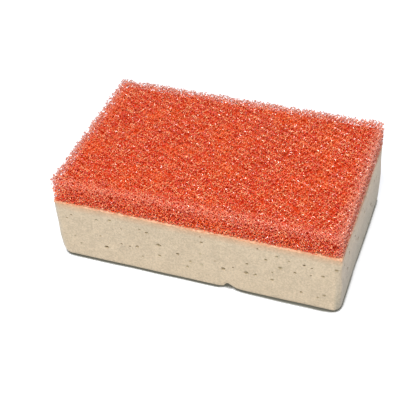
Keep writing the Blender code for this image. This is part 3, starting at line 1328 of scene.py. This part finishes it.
        way = strut_way[node, leg]
        made = []
        for piece in range(self.pieces):
            mine = np.nonzero(part == piece)[0]
            number = np.full(len(places), -1, np.int64)
            number[mine] = np.arange(len(mine))
            cell_faces = (6 * number[mine])[:, None, None] + FoamCells.CELL_WINDOWS[None]
            cell_faces = self.turned(cell_faces.reshape(-1, 3), cell_way[mine].ravel())
            here = part[node] == piece
            ring = 6 * number[node][:, None] + FoamCells.RING[leg]
            far_numbers = 6 * number[far_node][:, None] + FoamCells.RING[far_leg]
            pick = here & joined
            sides = self.sides(ring[pick], far_numbers[pick], way[pick])
            ends = self.turned(ring[here & bare], way[here & bare])
            pick = np.nonzero(here & stub)[0]
            extra = 6 * len(mine) + 3 * np.arange(len(pick))[:, None] + np.arange(3)
            stubs = self.sides(ring[pick], extra, way[pick])
            caps = self.turned(extra, way[pick])
            points = np.concatenate([rims[mine].reshape(-1, 3), cut_ring[pick].reshape(-1, 3)])
            triangles = np.concatenate([cell_faces, sides, ends, stubs, caps])
            owners = np.concatenate([
                np.repeat(np.arange(len(mine)), 4),
                np.tile(number[node[here & joined]], 6),
                number[node[here & bare]],
                np.tile(number[node[pick]], 6),
                number[node[pick]],
            ])
            made.append((points, triangles, self.patches(places[mine], owners, points[triangles])))
        return made

    @staticmethod
    def turned(triangles: np.ndarray, way: np.ndarray) -> np.ndarray:
        """Turns round the triangles whose way is negative."""
        return np.where((way < 0)[:, None], triangles[:, ::-1], triangles)

    def sides(self, near: np.ndarray, far: np.ndarray, way: np.ndarray) -> np.ndarray:
        """Joins two rings of three points with six triangles.

        Args:
            near: Point numbers of the rings at the struts' starts.
            far: Point numbers of the rings at their ends, in the same order.
            way: 1 where the rings run anticlockwise seen from the far end, or -1.

        Returns:
            The triangles.
        """
        near, far = self.turned(near, way), self.turned(far, way)
        made = []
        for i in range(3):
            j = (i + 1) % 3
            made.append(np.stack([near[:, i], near[:, j], far[:, j]], axis=1))
            made.append(np.stack([near[:, i], far[:, j], far[:, i]], axis=1))
        return np.concatenate(made)


@dataclass
class ScouringPad:
    """The coarse open-cell pad: real struts in its outer cells, round a core of deeper foam."""

    core_top: float = 1.75 * MM
    core_side: float = 2.4 * MM
    core_left: float = 3.3 * MM
    core_chamfer: float = 2.5 * MM
    core_grain: float = 1.8 * MM
    core_lumps_mm: tuple[float, float] = (-0.45, 0.25)
    core_flat: float = 0.2 * MM
    corner_radius: float = 3.0 * MM
    edge_radius: float = 1.0 * MM
    proud_low: tuple[float, float, float] = (0.6 * MM, 0.1 * MM, 0.15 * MM)
    proud_high: tuple[float, float, float] = (0.0, 1.0 * MM, 0.4 * MM)
    seed: int = 8

    def rounded(self, points: np.ndarray, low: np.ndarray, high: np.ndarray) -> np.ndarray:
        """Rounds the pad's upright corners and its upper edges, which are the first to wear.

        Args:
            points: Points of the pad.
            low: Its lowest corner.
            high: Its highest corner.

        Returns:
            The moved points.
        """
        half, middle = halves(low, high)
        moved = points.copy()
        away = moved[:, :2] - middle
        moved[:, :2] -= np.sign(away) * rounding((np.abs(away) - half + self.corner_radius).clip(0))
        for axis in (0, 1):
            away = moved[:, axis] - middle[axis]
            out = np.stack([np.abs(away) - half[axis], moved[:, 2] - high[2]], axis=1)
            shrink = rounding((out + self.edge_radius).clip(0))
            moved[:, axis] -= np.sign(away) * shrink[:, 0]
            moved[:, 2] -= shrink[:, 1]
        return moved

    def struts(self) -> list[bpy.types.Object]:
        """Models the strut network in several pieces."""
        low, high = corners(Node.PAD)
        low -= self.proud_low
        high += self.proud_high
        network = StrutNetwork(FoamCells(low, high))
        made = []
        for number, (points, triangles, places) in enumerate(network.build(), start=1):
            piece = mesh_object(f"pad_struts_{number}", self.rounded(points, low, high), triangles)
            piece.data.uv_layers.new(name="OFBake").uv.foreach_set("vector", places.ravel())
            piece.data.shade_flat()
            made.append(piece)
        return made

    def core(self) -> bpy.types.Object:
        """Models the foam behind the outer cells as one lumpy block."""
        low, high = corners(Node.PAD)
        low[:2] += self.core_side
        low[0] += self.core_left - self.core_side
        high[:2] -= self.core_side
        high[2] -= self.core_top
        core = primitive_box("pad_core", low, high)
        activate(core)
        for edge in core.data.edges:
            lowest = min(core.data.vertices[i].co.z for i in edge.vertices)
            edge.select = bool(lowest > high[2] - 0.1 * MM)
        bpy.context.tool_settings.mesh_select_mode = (False, True, False)
        bpy.ops.object.mode_set(mode="EDIT")
        bpy.ops.mesh.bevel(offset=self.core_chamfer, segments=2)
        bpy.ops.object.mode_set(mode="OBJECT")
        apply_modifier(core, "REMESH", mode="VOXEL", voxel_size=self.core_grain)
        points = vertex_places(core)
        rng = np.random.default_rng(self.seed)
        lifted = points[:, 2] > low[2] + self.core_flat
        points[lifted] += rng.uniform(*self.core_lumps_mm, (lifted.sum(), 3)) * MM
        move_vertices(core, points)
        core.data.shade_smooth()
        return core

    def build(self) -> list[bpy.types.Object]:
        """Models the pad and dresses it."""
        foam = ReticulatedFoam(*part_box(Node.PAD.value)).material()
        pieces = self.struts()
        for piece in pieces:
            finish_piece(piece, foam, Node.PAD)
        core = self.core()
        finish_piece(core, DeepFoam().material(), Node.PAD)
        return [*pieces, core]

def direction(azimuth_deg: float, elevation_deg: float) -> Vector:
    """Gives the way out from the sponge to something that looks at it.

    Args:
        azimuth_deg: Its turn from the front towards the right.
        elevation_deg: Its angle above the floor.

    Returns:
        A vector one metre long.
    """
    azimuth, elevation = math.radians(azimuth_deg), math.radians(elevation_deg)
    return Vector((
        math.sin(azimuth) * math.cos(elevation),
        -math.cos(azimuth) * math.cos(elevation),
        math.sin(elevation),
    ))
@dataclass
class Studio:
    """A white floor under plain soft light."""

    floor_size: float = 6.0
    sky_strength: float = 1.8
    left_sky: str = "A0C4F2"
    mid_sky: str = "858482"
    right_sky: str = "8A95B5"
    key_power: float = 8.2
    key_size: float = 0.30
    key_distance: float = 1.0
    key_azimuth_deg: float = 5.0
    key_elevation_deg: float = 66.5

    def floor(self) -> None:
        """Lays the floor just under the sponge."""
        deselect()
        bpy.ops.mesh.primitive_plane_add(size=self.floor_size, location=(0, 0, 0))
        floor = bpy.context.object
        floor.name = "studio_floor"
        floor.data.materials.append(StudioPaper().material())

    def sky(self) -> None:
        """Sets the soft light that comes from all round."""
        world = bpy.data.worlds.new("studio_sky")
        bpy.context.scene.world = world
        world.use_nodes = True
        world.node_tree.nodes.clear()
        tree = world.node_tree
        way = add_node(tree, "ShaderNodeTexCoord").outputs["Generated"]
        parts = add_node(tree, "ShaderNodeSeparateXYZ", links={0: way})
        share = add_node(
            tree, "ShaderNodeMapRange", {"From Min": -0.95, "From Max": 0.95}, {"Value": parts.outputs["X"]},
        )
        tone = ramp(
            tree, share.outputs["Result"],
            [(0.0, self.left_sky), (0.34, self.mid_sky), (0.66, self.mid_sky), (1.0, self.right_sky)],
        )
        light = add_node(tree, "ShaderNodeBackground", {"Strength": self.sky_strength}, {"Color": tone})
        add_node(tree, "ShaderNodeOutputWorld", links={"Surface": light.outputs["Background"]})

    def key_light(self) -> None:
        """Hangs a square softbox that faces the sponge."""
        place = direction(self.key_azimuth_deg, self.key_elevation_deg) * self.key_distance
        data = bpy.data.lights.new("key_softbox", "AREA")
        data.shape = "SQUARE"
        data.size = self.key_size
        data.energy = self.key_power
        lamp = bpy.data.objects.new("key_softbox", data)
        lamp.location = place
        lamp.rotation_mode = "QUATERNION"
        lamp.rotation_quaternion = (-place).to_track_quat("-Z", "Y")
        bpy.context.scene.collection.objects.link(lamp)

    def build(self) -> None:
        """Sets up the floor and the lights."""
        self.floor()
        self.sky()
        self.key_light()
        bpy.context.scene.view_settings.view_transform = "Standard"


@dataclass
class Camera:
    """The camera at the photograph's angle, found by fitting the sponge's edges."""

    azimuth_deg: float = 21.1
    elevation_deg: float = 39.97
    roll_deg: float = -2.77
    distance: float = 0.5775
    aim: tuple[float, float, float] = (-0.0092, -0.0138, 0.0275)
    frame_px: float = 400
    focal_px: float = 1005
    sensor_mm: float = 36.0

    def build(self) -> None:
        """Places the camera."""
        back = direction(self.azimuth_deg, self.elevation_deg)
        data = bpy.data.cameras.new("photo_camera")
        data.sensor_width = self.sensor_mm
        data.lens = self.focal_px / self.frame_px * self.sensor_mm
        data.clip_start = 0.01
        camera = bpy.data.objects.new("photo_camera", data)
        camera.location = Vector(self.aim) + back * self.distance
        camera.rotation_mode = "QUATERNION"
        roll = Quaternion((0, 0, 1), math.radians(self.roll_deg))
        camera.rotation_quaternion = (-back).to_track_quat("-Z", "Y") @ roll
        bpy.context.scene.collection.objects.link(camera)
        bpy.context.scene.camera = camera


def main() -> None:
    """Builds the sponge and the studio."""
    logging.basicConfig(level=logging.INFO, format="%(message)s")
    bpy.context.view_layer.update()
    Camera().build()
    Studio().build()
    for maker in (FoamBlock(), GlueLine(), ScouringPad()):
        made = maker.build()
        for piece in made if isinstance(made, list) else [made]:
            triangles = sum(len(face.vertices) - 2 for face in piece.data.polygons)
            log.info("%s: %d triangles", piece.name, triangles)


if __name__ == "__main__":
    main()
